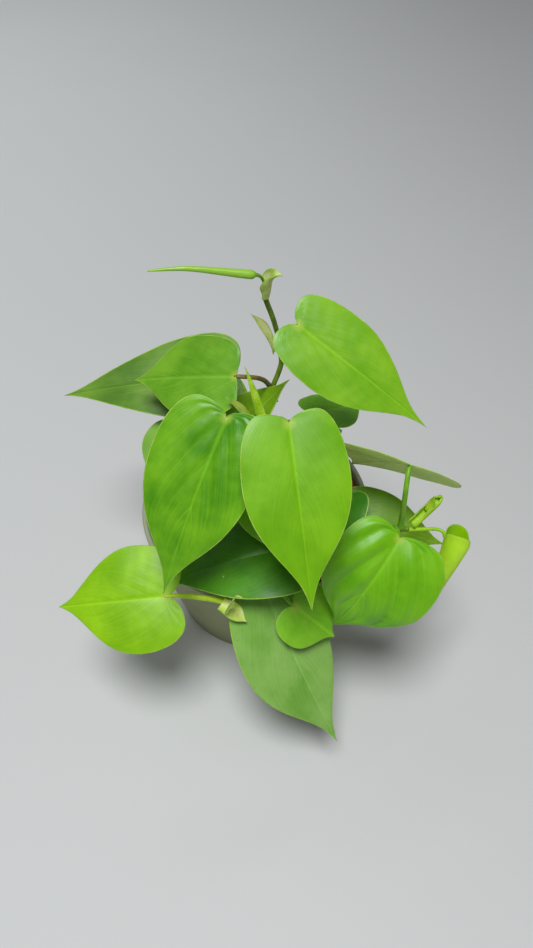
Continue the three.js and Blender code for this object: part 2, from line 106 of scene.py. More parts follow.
# One heart-shaped leaf: where its blade starts and its tip ends, the stem and height that its stalk grows
# from, and its form. Angles are in degrees, roll turns the blade about the line from base to tip, and lobe,
# widest, asym and sweep are parts of the blade's length or half width.
LEAF = dict(
    width=40, roll=0, bend=14, curl=0, curl_from=0.7, fold=8, camber=0.1, sweep=0, asym=0, lobe=0.16,
    widest=0.25, shoulder=0.5, neck=0.13, cup=0, cup_tip=0, along=0.45, below=0.9, rise=0.5, reach=0.4,
    foot=None, quilt=0.12, wave=0.3, spacing=0.13, stalk=STALK_RADIUS, slot="leaf_mid", matte=0,
    deep="3f8604", light="6aa80c", under="86ab5c",
)
BRIGHT = dict(slot="leaf_bright", deep="68a900", light="84c200", under="a0c85c")
DARK = dict(slot="leaf_dark", deep="2c6a00", light="478c04", under="8cb05c")
LEAVES = {
    "leaf_01": dict(
        BRIGHT, base=(14, -45, 190), tip=(23, -97, 142), grows=("stem_middle", 156), width=41, lobe=0.06,
        widest=0.3,
    ),
    "leaf_02": dict(
        base=(-9.3, -37.4, 184.6), tip=(-36, -82, 128), grows=("stem_middle", 144), width=44, roll=-13,
        bend=19, fold=10, lobe=0.06, widest=0.24, shoulder=0.57, asym=0.05, sweep=0.01, quilt=1.3,
        spacing=0.19, deep="3f8a02", light="7cbc10",
    ),
    "leaf_03": dict(
        BRIGHT, base=(62, -57, 131), tip=(36.5, -73.8, 83.6), grows=("stem_right", 114), width=50, roll=-38,
        bend=64, asym=-0.1, lobe=0.06, widest=0.29, shoulder=0.62, quilt=2.6, spacing=0.29, wave=0.5,
        deep="5ca800", light="80c408",
    ),
    "leaf_04": dict(
        BRIGHT, base=(18, -8, 205), tip=(70, -31, 172), grows=("stem_tall", 174), width=34, roll=30,
        bend=10, lobe=0.08, widest=0.26, neck=0.1, quilt=0.5, deep="69ab08", light="8cc41c",
    ),
    "leaf_05": dict(
        base=(-7, -8, 178), tip=(-53, 6, 162), grows=("stem_tall", 157), width=36, roll=-35, bend=16,
        lobe=0.03, widest=0.34, along=1, below=0.2, quilt=0.5, deep="4c9208", light="80b828",
    ),
    "leaf_06": dict(
        DARK, base=(-9.5, 20, 152.5), tip=(-91, 18, 140), grows=("stem_tall", 120), width=42, roll=-28,
        lobe=0.05, widest=0.13, shoulder=0.35, deep="4e7e18", light="78a42c",
    ),
    "leaf_07": dict(
        base=(-30, 0, 128), tip=(-43, -21, 105), grows=("stem_left", 106), width=44, roll=-10, matte=1,
        deep="7cb040", light="94c454",
    ),
    "leaf_08": dict(
        DARK, base=(-14, -15, 143), tip=(15.5, -1, 169.5), grows=("stem_middle", 124), width=29, bend=-10,
        fold=10, shoulder=0.3, asym=-0.2, deep="628e02", light="7caa08",
    ),
    # Painted light: leaf_09's greens are lightened to make up for the shade it sits in.
    "leaf_09": dict(
        DARK, base=(28.4, 4.7, 141.9), tip=(53, 17.8, 133.7), grows=("stem_tall", 130), width=28, roll=-8,
        bend=10, asym=0.05, deep="5cac12", light="90d420",
    ),
    # Painted light: leaf_10's greens are far paler than the leaf's own, standing in for light its shaded,
    # edge-on blade lacks.
    "leaf_10": dict(
        base=(65.9, -34.8, 152.8), tip=(49, 6, 103), grows=("stem_right", 117.5), width=57, roll=37,
        bend=10, fold=4, lobe=0.07, widest=0.13, stalk=1.2, rise=0.3, matte=1, deep="b4e858", light="dcfa80",
        under="d8fa84",
    ),
    "leaf_11": dict(
        DARK, base=(42, -24.8, 101), tip=(92.5, -35.6, 92), grows=("stem_right", 92), width=32, roll=29,
        bend=20, fold=6, lobe=0.05, asym=-0.09, deep="5a8c06", light="88b61a", under="7a9c10",
    ),
    "leaf_12": dict(
        DARK, base=(43.6, -25, 116), tip=(27.5, -50, 98.5), grows=("stem_back", 98), width=26, roll=12,
        deep="2a6c00", light="448800",
    ),
    "leaf_13": dict(
        DARK, base=(16, -51.4, 113.6), tip=(-40, -60, 96.5), grows=("stem_middle", 96), width=43, roll=-9,
        bend=36, widest=0.1, deep="387c00", light="58a000",
    ),
    # Painted light: leaf_14's greens are lightened to make up for the shade it sits in.
    "leaf_14": dict(
        base=(6, -27, 140), tip=(19, -64, 116), grows=("stem_middle", 112), deep="60ac08", light="88cc14",
    ),
    "leaf_15": dict(
        base=(6, -63, 92), tip=(40, -111, 34), grows=("stem_front", 88), width=45, lobe=0.1, widest=0.3,
        asym=0.12, sweep=0.02, along=1, below=0.1, rise=0.1, matte=1, deep="70aa38", light="98c664",
    ),
    "leaf_16": dict(
        DARK, base=(18.6, -69, 92.2), tip=(37.5, -77.4, 78.2), grows=("stem_middle", 111), width=31,
        roll=22, shoulder=0.7, along=1, below=0.2, rise=0.2, reach=0.3, quilt=0.6, deep="6cbc14",
        light="98d430",
    ),
    "leaf_17": dict(
        BRIGHT, base=(-39, -69, 102), tip=(-89, -69, 92), grows=("stem_front", 95.5), width=48, roll=-30,
        bend=24, fold=4, lobe=0.15, along=1, below=0.2, rise=0.1, stalk=1.25, quilt=0.4,
        deep="7cb800", light="a0d806",
    ),
    "leaf_18": dict(
        DARK, base=(27, 27, 103), tip=(33, 57, 75), grows=("stem_back", 96), width=36, bend=30,
    ),
    "leaf_19": dict(
        DARK, base=(-28, 20, 106), tip=(-41, 47, 80), grows=("stem_left", 100), width=36, bend=30,
    ),
    "leaf_20": dict(
        DARK, base=(-1, 28, 105), tip=(-6, 56, 81), grows=("stem_back", 84), width=26, bend=30,
    ),
    "rolled_leaf": dict(
        BRIGHT, base=(84, -50.6, 122.2), tip=(78, -69, 84), grows=("stem_right", 118.5), width=31.5,
        roll=-98, bend=0, lobe=0.1, widest=0.05, shoulder=0, neck=0.14, fold=0, camber=0, cup=320,
        cup_tip=300, along=1, below=0.1, rise=0, stalk=0.85, quilt=0, wave=0, deep="8cc400", light="b0e014",
        under="b4e414",
    ),
}

# One sheath: a narrow strap that wraps its stem and ends in a point. Its foot is the width at the bottom
# and its cup the angle that it wraps there. Two of them end in a second horn.
SHEATH = dict(
    LEAF, width=8, foot=0.8, widest=0.3, bend=10, fold=0, camber=0, cup=120, cup_tip=60, quilt=0, wave=0
)
SHEATHS = {
    "sheath_1": dict(
        base=(6.7, 5, 208), tip=(12, 4.4, 218.4), width=12, foot=0.64, widest=0.5, bend=-16, curl=130,
        curl_from=0.42, cup=320, cup_tip=90,
    ),
    "sheath_2": dict(
        base=(8.9, 4.2, 180.2), tip=(-0.7, 8, 197.6), width=5.6, foot=0.6, widest=0.6, cup=90, cup_tip=50,
        bend=44,
    ),
    "sheath_3": dict(base=(5.1, -19.7, 156), tip=(-3.2, -8, 184.5), width=5, foot=1, widest=0.2),
    "sheath_4": dict(base=(-0.2, -19.2, 160.8), tip=(-10.4, -20.1, 178), width=7, widest=0.4, cup=100),
    "sheath_5": dict(
        base=(71, -43.9, 121.2), tip=(80.8, -37.6, 132.8), width=11, foot=1, widest=0.6, bend=-10,
        curl=-230, curl_from=0.66, cup=300, cup_tip=280,
        horn=dict(
            base=(76.2, -40.6, 127.6), tip=(78.8, -38.8, 136.6), width=4, cup=60, roll=180, bend=20,
        ),
    ),
    "sheath_6": dict(
        base=(-14.8, -70.6, 97.4), tip=(-3, -77, 93), width=10, foot=0.8, widest=0.4, cup=150, cup_tip=60,
        horn=dict(base=(-11.4, -74.8, 98), tip=(-3.8, -78.7, 118.2), width=6, cup=80, bend=0, curl=100),
    ),
}
SHEATH_TONES = {
    "sheath_1": ("b8cc58", "e0eaa0"),
    "sheath_2": ("c4d460", "e6e8a0"),
    "sheath_3": ("a4d00c", "cceb40"),
    "sheath_4": ("a8c438", "ccd868"),
    "sheath_5": ("a8d80c", "c8ee38"),
    "sheath_6": ("d2ea60", "ecf8a0"),
}

# The newest leaf, rolled tight: the points of its stalk inside the top sheath and of its body, with radii.
SPEAR = [
    ((5.4, 4.8, 207.6), 0.6), ((5.4, 4.8, 213), 0.6), ((3.9, 4, 218), 0.6), ((1.6, 0.6, 221.9), 0.8),
    ((0.4, -0.5, 222.7), 1.7), ((-3.6, -0.9, 223.5), 1.75), ((-11.4, -1.6, 225), 1.5),
    ((-19.2, -2.4, 226.5), 1.2), ((-24.4, -3, 227.2), 1), ((-29, -3.6, 227.4), 0.75),
    ((-32.6, -4.2, 227.5), 0.6), ((-37.2, -5, 227.5), 0.25),
]


# Colours of what is not a blade: a deep and a light tone each, or one.
STALK_TONES = {
    "leaf_05": ("6a5526", "86722e"),
    "leaf_17": ("a4cc0c", "c0e02c"),
    "rolled_leaf": ("98cc0c", "b4dc30"),
}
PLAIN_STALK_TONES = ("6cab0a", "90c826")
TALL_STEM_TONES = ("4c6c06", "7c9c14")
STEM_TONES = ("4a6a16", "6f9422")
ROOT_TONES = ("6b4a2c", "8a6a44")
SPECK_TONE = "8f7a2c"
STALK_SPOT_TONE = "b4cc4a"

# The studio, in metres: each lamp's place, the point that it faces, its width, power and colour.
LAMPS = {
    "overhead": ((-0.05, -0.3, 1.15), (0, -0.03, 0.12), 0.4, 10.5, (0.96, 0.985, 1)),
    "window": ((-0.4, 0.6, 0.95), (0, -0.03, 0.12), 0.6, 5, (0.92, 0.97, 1)),
    "front_fill": ((0.1, -1.2, 0.8), (0, -0.03, 0.1), 0.9, 3.5, (1, 1, 1)),
}
SKY_COLOUR = (0.95, 0.97, 1, 1)
SKY_STRENGTH = 0.16
FLOOR_REACH = 4000

# The camera: its place in metres, its tilt in degrees, and its focal length in pixels of the photo.
CAMERA_PLACE = (0.0058, -0.221, 0.385)
CAMERA_TILT = 38
FOCAL_LENGTH = 712
PHOTO_HEIGHT = 948
SENSOR_HEIGHT = 36


# Vectors and curves.
def unit(vector):
    vector = np.asarray(vector, float)
    return vector / np.linalg.norm(vector, axis=-1, keepdims=True)


def bezier(points, count):
    """A cubic curve sampled at count + 1 even values of its parameter."""
    a, b, c, d = [np.asarray(p, float) for p in points]
    t = np.linspace(0, 1, count + 1)[:, None]
    return (1 - t) ** 3 * a + 3 * (1 - t) ** 2 * t * b + 3 * (1 - t) * t * t * c + t**3 * d


def spaced(points, count):
    """A polyline as count + 1 points at even distances along it."""
    points = np.asarray(points, float)
    steps = np.linalg.norm(np.diff(points, axis=0), axis=1)
    length = np.concatenate([[0], np.cumsum(steps)])
    wanted = np.linspace(0, length[-1], count + 1)
    return np.stack([np.interp(wanted, length, points[:, k]) for k in range(points.shape[1])], -1)


def through(points, count):
    """A smooth curve through the points (a centripetal Catmull-Rom spline), evenly spaced."""
    p = np.asarray(points, float)
    p = np.vstack([2 * p[0] - p[1], p, 2 * p[-1] - p[-2]])
    line = []
    for i in range(1, len(p) - 2):
        gaps = [np.linalg.norm(p[k + 1] - p[k]) ** 0.5 for k in (i - 1, i, i + 1)]
        start = (p[i] - p[i - 1]) / gaps[0] - (p[i + 1] - p[i - 1]) / (gaps[0] + gaps[1])
        start = (start + (p[i + 1] - p[i]) / gaps[1]) * gaps[1]
        stop = (p[i + 1] - p[i]) / gaps[1] - (p[i + 2] - p[i]) / (gaps[1] + gaps[2])
        stop = (stop + (p[i + 2] - p[i + 1]) / gaps[2]) * gaps[1]
        t = np.linspace(0, 1, CURVE_STEPS)[:, None]
        step = p[i + 1] - p[i]
        square = 3 * step - 2 * start - stop
        cube = start + stop - 2 * step
        line.append(p[i] + start * t + square * t**2 + cube * t**3)
    return spaced(np.vstack(line), count)


def smooth(value, low, high):
    """0 below low, 1 above high and a smooth rise between."""
    t = np.clip((np.asarray(value, float) - low) / (high - low), 0, 1)
    return t * t * (3 - 2 * t)


# Blades.
def heart_outline(half, leaf, count):
    """The right half of a heart, from the notch to the tip, for a blade of length 1."""
    lobe, widest, shoulder, neck = [leaf[key] for key in ("lobe", "widest", "shoulder", "neck")]
    neck_at = 0.87
    corners = [
        [(0, 0), (0.05 * half, -0.6 * lobe), (0.22 * half, -lobe), (0.5 * half, -lobe)],
        [(0.5 * half, -lobe), (0.8 * half, -lobe), (half, widest - 0.55 * (widest + lobe)), (half, widest)],
        [
            (half, widest), (half, widest + shoulder * (neck_at - widest)),
            (3 * neck * half, neck_at - 0.17), (neck * half, neck_at),
        ],
        [(neck * half, neck_at), (0.45 * neck * half, neck_at + 0.055), (0.15 * neck * half, 0.97), (0, 1)],
    ]
    return spaced(np.vstack([bezier(c, CURVE_STEPS) for c in corners]), count)


def strap_outline(half, leaf, count):
    """The right half of a sheath's outline: a strap that narrows to a pointed tip."""
    foot = leaf["foot"] * half
    widest = leaf["widest"]
    corners = [
        [(foot, 0), (foot, 0.5 * widest), (half, 0.6 * widest), (half, widest)],
        [(half, widest), (half, widest + 0.45 * (1 - widest)), (0.2 * half, 0.85), (0, 1)],
    ]
    return spaced(np.vstack([bezier(c, CURVE_STEPS) for c in corners]), count)


class Blade:
    """The middle surface of a blade, whose points are given across and along it in parts of its length."""

    def __init__(self, leaf, phase=0.0):
        self.leaf = leaf
        self.phase = phase
        self.base = np.array(leaf["base"], float)
        line = np.array(leaf["tip"], float) - self.base
        self.length = np.linalg.norm(line)
        self.ahead = line / self.length
        level = unit(np.array([0, 0, 1.0]) - self.ahead * self.ahead[2])
        flat = np.cross(self.ahead, level)
        roll = math.radians(leaf["roll"])
        self.normal = level * math.cos(roll) + flat * math.sin(roll)
        self.side = np.cross(self.ahead, self.normal)
        self.half = leaf["width"] / 2 / self.length
        self.outline = heart_outline if leaf["foot"] is None else strap_outline
        self.edge = self.outline(self.half, leaf, CURVE_STEPS)
        self.bend_midrib()

    def bend_midrib(self):
        """The middle line seen from the side. It bends evenly, and its last part curls further."""
        at = np.linspace(0, 1, MIDRIB_STEPS + 1)
        curl_from = self.leaf["curl_from"]
        curl = math.radians(self.leaf["curl"]) * np.clip((at - curl_from) / (1 - curl_from), 0, None) ** 2
        slope = -(math.radians(self.leaf["bend"]) * at + curl)
        mean = (slope[1:] + slope[:-1]) / 2
        along = np.concatenate([[0], np.cumsum(np.cos(mean)) / MIDRIB_STEPS])
        height = np.concatenate([[0], np.cumsum(np.sin(mean)) / MIDRIB_STEPS])
        chord = math.hypot(along[-1], height[-1])
        turn = math.atan2(height[-1], along[-1])
        self.at = at
        self.along = (along * math.cos(turn) + height * math.sin(turn)) / chord
        self.height = (height * math.cos(turn) - along * math.sin(turn)) / chord
        self.slope = slope - turn
        self.chord = chord

    def half_width(self, along):
        top = int(np.argmax(self.edge[:, 0]))
        return np.interp(along, self.edge[top:, 1], self.edge[top:, 0], left=self.half)

    def point(self, across, along):
        leaf = self.leaf
        across, along = np.broadcast_arrays(np.asarray(across, float), np.asarray(along, float))
        across = across * (1 + leaf["asym"] * np.sign(across))
        part = np.clip(along, 0, 1)
        out = np.hypot(across, 0.03 * self.half) - 0.03 * self.half
        height = out * math.tan(math.radians(leaf["fold"])) * (1 - 0.6 * part)
        height = height - leaf["camber"] * across**2 / self.half
        if leaf["cup"]:
            cup = np.radians(leaf["cup"] + (leaf["cup_tip"] - leaf["cup"]) * part)
            tightness = cup / (2 * np.maximum(self.half_width(part), 0.08 * self.half))
            angle = tightness * across
            height = height + (1 - np.cos(angle)) / tightness
            across = np.sin(angle) / tightness
        right = across + leaf["sweep"] * 4 * part * (1 - part)
        slope = np.interp(part, self.at, self.slope)
        behind = np.minimum(along, 0) / self.chord
        forward = np.interp(part, self.at, self.along) + behind * np.cos(slope) - height * np.sin(slope)
        high = np.interp(part, self.at, self.height) + behind * np.sin(slope) + height * np.cos(slope)
        place = right[..., None] * self.side + forward[..., None] * self.ahead + high[..., None] * self.normal
        return self.base + self.length * place

    def facing(self, across, along):
        """The unit normal of the upper face."""
        step = 1e-3
        right = self.point(across + step, along) - self.point(across - step, along)
        forward = self.point(across, along + step) - self.point(across, along - step)
        return unit(np.cross(right, forward))


# How far across the blade its columns lie, closer together at the midrib.
COLUMNS = np.array([0, 0.014, 0.035, 0.07, 0.12, 0.19, 0.27, 0.36, 0.46, 0.56, 0.66, 0.76, 0.86, 0.94, 1])
VEIN_SWEEP = 0.56
VEIN_BOW = 1.1
DOME_POWER = 2.2
GROOVE_WIDTH = 0.9
GROOVE_DEPTH = 0.3
UPPER, UNDER, MARGIN, STALK, WATER = range(5)
DROP = dict(leaf="leaf_13", across=-0.1, along=0.52, radius=1.0, height=0.45)


def vein_height(blade, part, vein, across, along):
    """Relief of the upper face in mm: domes between the main veins and a groove along the midrib."""
    leaf = blade.leaf
    reach = np.hypot(across, along) * blade.length
    between = np.abs(((vein / leaf["spacing"]) % 1) - 0.5) * 2
    fade = smooth(np.abs(part), 0, 0.25) * (1 - smooth(np.abs(part), 0.7, 1))
    fade = fade * (1 - smooth(along, 0.55, 0.95))
    dome = leaf["quilt"] * (1 - between**DOME_POWER - 0.5) * fade * smooth(reach, 0, 12)
    wide = GROOVE_WIDTH * (1 - 0.6 * np.clip(along, 0, 1))
    groove = GROOVE_DEPTH * np.exp(-((across * blade.length / wide) ** 2)) * smooth(along, 0, 0.06)
    long_wave = np.sin(2 * np.pi * (1.6 * along + blade.phase))
    short_wave = np.sin(2 * np.pi * (2.7 * along - 2 * blade.phase))
    edge = leaf["wave"] * 0.5 * (long_wave + short_wave) * np.sign(across) * part**2
    edge = edge * (1 - smooth(along, 0.6, 0.95))
    return dome - groove * (leaf["cup"] == 0) + edge


def blade_mesh(blade, thickness, rows):
    """Points in mm, faces, their materials and the two maps of a thin blade closed round its edge."""
    heart = blade.leaf["foot"] is None
    edge = blade.outline(blade.half, blade.leaf, rows)
    travel = np.linspace(0, 1, rows + 1)
    if heart:
        edge = edge[1:]
        travel = travel[1:]
    ray = np.where(edge[:, 1] < 0, np.hypot(edge[:, 0], edge[:, 1]), edge[:, 0]) * blade.length
    inner = np.clip(1 - MARGIN_WIDTH / np.maximum(ray, 0.1), 0.6, 0.99)
    right = np.concatenate([COLUMNS[None, :] * inner[:, None], np.ones((len(edge), 1))], 1)
    part = np.concatenate([-right[:, :0:-1], right], 1)
    across = edge[:, :1] * part
    along = np.where(edge[:, 1:] < 0, edge[:, 1:] * np.abs(part), edge[:, 1:])
    vein = travel[:, None] - VEIN_SWEEP * np.abs(part) ** VEIN_BOW
    rows_in, columns_in = part.shape

    known = {}
    ids = np.empty(part.shape, int)
    first = []
    for j in range(rows_in):
        for i in range(columns_in):
            key = (round(across[j, i], 6), round(along[j, i], 6))
            if key not in known:
                known[key] = len(first)
                first.append((j, i))
            ids[j, i] = known[key]
    pick = tuple(np.array(first).T)
    x, y = across[pick], along[pick]
    middle = blade.point(x, y)
    normal = blade.facing(x, y)
    if heart:
        middle = middle + normal * vein_height(blade, part[pick], vein[pick], x, y)[:, None]
    thin = thickness * (1 - 0.6 * smooth(np.abs(part[pick]), 0.85, 1))[:, None] / 2
    count = len(first)
    points = np.concatenate([middle + normal * thin, middle - normal * thin])
    vein_map = np.stack([part, vein], -1)
    flat_map = np.stack([across, along], -1) * blade.length / 100

    faces = []
    kinds = []
    maps = []
    edges = {}
    for j in range(rows_in - 1):
        for i in range(columns_in - 1):
            cell = [(j, i), (j, i + 1), (j + 1, i + 1), (j + 1, i)]
            keep = [k for k in range(4) if ids[cell[k]] != ids[cell[k - 1]]]
            if len(keep) < 3:
                continue
            cell = [cell[k] for k in keep]
            at_edge = i in (0, columns_in - 2)
            faces.append([int(ids[c]) for c in cell])
            kinds.append(MARGIN if at_edge else UPPER)
            maps.append(cell)
            faces.append([int(ids[c]) + count for c in reversed(cell)])
            kinds.append(MARGIN if at_edge else UNDER)
            maps.append(cell[::-1])
            for k, corner in enumerate(cell):
                start, stop = int(ids[cell[k - 1]]), int(ids[corner])
                if (stop, start) in edges:
                    del edges[(stop, start)]
                else:
                    edges[(start, stop)] = (cell[k - 1], corner)
    for (start, stop), (a, b) in edges.items():
        faces.append([start, start + count, stop + count, stop])
        kinds.append(MARGIN)
        maps.append([a, a, b, b])
    corners = [c for face in maps for c in face]
    index = tuple(np.array(corners).T)
    return points, faces, kinds, vein_map[index], flat_map[index]


def moved_on(faces, start):
    """The same faces for points that follow the first start ones."""
    return [[start + corner for corner in face] for face in faces]


def turns(sides):
    """The angles of points that stand evenly round a circle."""
    return np.arange(sides) * 2 * np.pi / sides


def ring_faces(rings, sides):
    """The faces between rings of points that follow each other, and one at either end."""
    faces = []
    for k in range(rings - 1):
        for i in range(sides):
            j = (i + 1) % sides
            faces.append([k * sides + i, k * sides + j, (k + 1) * sides + j, (k + 1) * sides + i])
    last = (rings - 1) * sides
    return faces + [list(range(sides))[::-1], [last + i for i in range(sides)]]


def tube_mesh(path, radii, sides):
    """Points in mm and faces of a round bar with domed ends."""
    path = np.asarray(path, float)
    radii = np.asarray(radii, float)
    ahead = unit(np.gradient(path, axis=0))
    start = path[0] - ahead[0] * radii[0] * DOME_RISE
    stop = path[-1] + ahead[-1] * radii[-1] * DOME_RISE
    path = np.vstack([start, path, stop])
    radii = np.concatenate([[DOME_RADIUS * radii[0]], radii, [DOME_RADIUS * radii[-1]]])
    ahead = np.vstack([ahead[0], ahead, ahead[-1]])
    side = np.array([0.91, 0.42, 0.02])
    angle = turns(sides)
    points = []
    for centre, direction, radius in zip(path, ahead, radii):
        side = unit(side - direction * (side @ direction))
        across = np.cross(direction, side)
        ring = np.outer(np.cos(angle), side) + np.outer(np.sin(angle), across)
        points.append(centre + radius * ring)
    return np.vstack(points), ring_faces(len(path), sides)


def make_object(name, points, faces, materials, kinds=None, maps=None):
    """A mesh object in metres at the origin, with its materials and UV maps."""
    mesh = bpy.data.meshes.new(name)
    mesh.from_pydata((np.asarray(points) * METRES).tolist(), [], [list(map(int, f)) for f in faces])
    for material in materials:
        mesh.materials.append(material)
    if kinds is not None:
        mesh.polygons.foreach_set("material_index", np.asarray(kinds, np.int32))
    for key, values in (maps or {}).items():
        layer = mesh.uv_layers.new(name=key)
        layer.data.foreach_set("uv", np.asarray(values, np.float32).ravel())
    mesh.polygons.foreach_set("use_smooth", np.full(len(mesh.polygons), True))
    mesh.update()
    piece = bpy.data.objects.new(name, mesh)
    bpy.context.scene.collection.objects.link(piece)
    return piece


# Materials. Light goes this far under a skin, in metres.
SKIN_DEPTH = 0.001


def rgb(code):
    """A colour written as six hex digits, as linear red, green, blue and alpha."""
    values = [int(code[k : k + 2], 16) / 255 for k in (0, 2, 4)]
    return [v / 12.92 if v <= 0.04045 else ((v + 0.055) / 1.055) ** 2.4 for v in values] + [1.0]


class Shader:
    """A material under construction, with short ways to add its nodes."""

    def __init__(self, name, **surface):
        self.material = bpy.data.materials.new(name)
        self.material.use_nodes = True
        self.tree = self.material.node_tree
        self.surface = self.tree.nodes["Principled BSDF"]
        for key, value in surface.items():
            self.surface.inputs[key.replace("_", " ")].default_value = value

    def put(self, socket, value):
        if isinstance(value, bpy.types.NodeSocket):
            self.tree.links.new(value, socket)
        else:
            socket.default_value = rgb(value) if isinstance(value, str) else value

    def add(self, kind, inputs=(), **settings):
        node = self.tree.nodes.new(kind)
        for key, value in settings.items():
            setattr(node, key, value)
        for key, value in dict(inputs).items():
            self.put(node.inputs[key], value)
        return node

    def math(self, operation, a, b=0.0):
        return self.add("ShaderNodeMath", {0: a, 1: b}, operation=operation).outputs[0]

    def plus(self, a, b):
        return self.math("ADD", a, b)

    def times(self, a, b):
        return self.math("MULTIPLY", a, b)

    def split(self, vector):
        return self.add("ShaderNodeSeparateXYZ", {0: vector}).outputs

    def mapped(self, name):
        return self.add("ShaderNodeUVMap", uv_map=name).outputs[0]

    def stretched(self, vector, scale):
        return self.add("ShaderNodeMapping", {0: vector, 3: scale}).outputs[0]

    def ramp(self, value, low, high, to_low=0.0, to_high=1.0):
        """value taken from low..high to to_low..to_high, held at both ends."""
        inputs = {"Value": value, "From Min": low, "From Max": high, "To Min": to_low, "To Max": to_high}
        return self.add("ShaderNodeMapRange", inputs, interpolation_type="SMOOTHSTEP").outputs[0]

    def mix(self, factor, a, b):
        node = self.add("ShaderNodeMix", data_type="RGBA")
        self.put(node.inputs[0], factor)
        self.put(node.inputs[6], a)
        self.put(node.inputs[7], b)
        return node.outputs[2]

    def place(self):
        return self.add("ShaderNodeTexCoord").outputs["Object"]

    def drift(self, noise, low, high, deep, light):
        """Two colours that pass into each other where the noise goes from low to high."""
        return self.mix(self.ramp(noise, low, high), deep, light)

    def noise(self, vector, scale, detail, rough=0.5):
        inputs = {"Vector": vector, "Scale": scale, "Detail": detail, "Roughness": rough}
        return self.add("ShaderNodeTexNoise", inputs).outputs["Fac"]

    def bump(self, height, strength, distance):
        inputs = {"Height": height, "Strength": strength, "Distance": distance}
        return self.add("ShaderNodeBump", inputs).outputs["Normal"]

    def finish(self, colour, roughness=None, normal=None):
        for key, value in {"Base Color": colour, "Roughness": roughness, "Normal": normal}.items():
            if value is not None:
                self.put(self.surface.inputs[key], value)
        return self.material


def blade_material(name, leaf, under):
    """A leaf's face: streaks and fine veins that fan from the stalk, a pale midrib and a satin surface."""
    shader = Shader(
        name, Specular_IOR_Level=0.44 - 0.14 * leaf["matte"], Subsurface_Weight=0.1,
        Subsurface_Scale=SKIN_DEPTH, Subsurface_Radius=(0.5, 1.0, 0.15),
    )
    plus, times, ramp, noise, mix = shader.plus, shader.times, shader.ramp, shader.noise, shader.mix
    flat = shader.mapped("flat")
    place = shader.place()
    part, vein, _ = shader.split(shader.mapped("vein"))
    level, along, _ = shader.split(flat)
    across = shader.math("ABSOLUTE", level)

    # Streaks run along the veins, softly bent so that no two are alike.
    wander = noise(place, 90, 2)
    bent = plus(vein, times(wander, 0.035))
    lines = shader.add("ShaderNodeCombineXYZ", {0: times(part, 1.2), 1: bent}).outputs[0]
    streaks = noise(shader.stretched(lines, (1, 26, 1)), 1.6, 3, 0.6)
    clouds = noise(place, 55, 3, 0.55)
    tone = plus(times(clouds, 0.75), times(streaks, 0.25))
    tone = ramp(tone, 0.28, 0.72)
    if under:
        deep = rgb(leaf["under"])
        light = [min(1, 1.25 * v + 0.02) for v in deep[:3]] + [1]
        deep = [0.86 * v for v in deep[:3]] + [1]
    else:
        deep = rgb(leaf["deep"])
        light = rgb(leaf["light"])
    colour = mix(tone, deep, light)

    # Main veins, each a thin line that fades towards the margin, and finer ones between them.
    phase = shader.math("DIVIDE", vein, leaf["spacing"])
    main = shader.math("PINGPONG", phase, 0.5)
    side = shader.math("ABSOLUTE", part)
    from_base = shader.add("ShaderNodeVectorMath", {0: flat}, operation="LENGTH").outputs["Value"]
    fade = times(ramp(side, 0.35, 0.95, 1, 0), ramp(from_base, 0.03, 0.12))
    main_line = times(ramp(main, 0.0, 0.075, 1, 0), fade)
    fine = shader.math("PINGPONG", times(bent, 34), 0.5)
    fine_line = times(ramp(fine, 0.0, 0.2, 1, 0), ramp(from_base, 0.04, 0.16))
    pale = [min(1, 1.35 * v + 0.02) for v in light[:3]] + [1]
    amount = 0.3 if under else 0.07 + 0.08 * min(leaf["quilt"], 1)
    colour = mix(times(fine_line, 0.25 * amount), colour, pale)
    colour = mix(times(main_line, amount), colour, pale)

    # The midrib, widest at the stalk, a few brown specks, and the pale spot where the stalk meets the blade.
    rib = shader.math("DIVIDE", across, ramp(along, 0.0, 0.55, 0.011, 0.003))
    rib_line = times(ramp(rib, 0.35, 1.2, 1, 0), ramp(along, -0.01, 0.0))
    colour = mix(times(rib_line, 0.5 if under else 0.3), colour, pale)
    specks = ramp(noise(place, 340, 1), 0.745, 0.775, 0, 0.6 * leaf["matte"])
    colour = mix(specks, colour, SPECK_TONE)
    spot = ramp(from_base, 0.008, 0.035, 0.6, 0)
    colour = mix(spot, colour, STALK_SPOT_TONE)

    # Relief: fine veins, the midrib and a very fine grain.
    grain = noise(place, 1500, 2)
    if under:
        lift = plus(times(main_line, 0.9), times(fine_line, 0.3))
        lift = plus(lift, times(rib_line, 1.2))
    else:
        lift = times(main_line, -0.06 - 0.12 * min(leaf["quilt"], 1))
        lift = plus(lift, times(fine_line, -0.05))
        lift = plus(lift, times(streaks, 0.3))
    height = plus(lift, times(grain, 0.12))
    normal = shader.bump(height, 0.55, 0.00025)
    low, high = (0.5, 0.64) if under or leaf["matte"] else (0.34, 0.46)
    roughness = ramp(plus(clouds, times(grain, 0.2)), 0.35, 0.85, low, high)
    return shader.finish(colour, roughness, normal)


def plain_growth(name, deep, light, rough, scale, glow, grain=900, stretch=(1, 1, 1), lift=0.0002):
    """Stalks, stems, margins and sheaths: two tones that drift into each other, with a fine grain."""
    shader = Shader(
        name, Specular_IOR_Level=0.45, Subsurface_Weight=glow, Subsurface_Scale=SKIN_DEPTH,
        Subsurface_Radius=(0.6, 1.0, 0.2),
    )
    place = shader.stretched(shader.place(), stretch)
    clouds = shader.noise(place, scale, 4, 0.6)
    fine = shader.noise(place, grain, 2)
    colour = shader.drift(clouds, 0.38, 0.62, deep, light)
    roughness = shader.ramp(fine, 0.3, 0.7, rough - 0.06, rough + 0.08)
    return shader.finish(colour, roughness, shader.bump(fine, 0.4, lift))


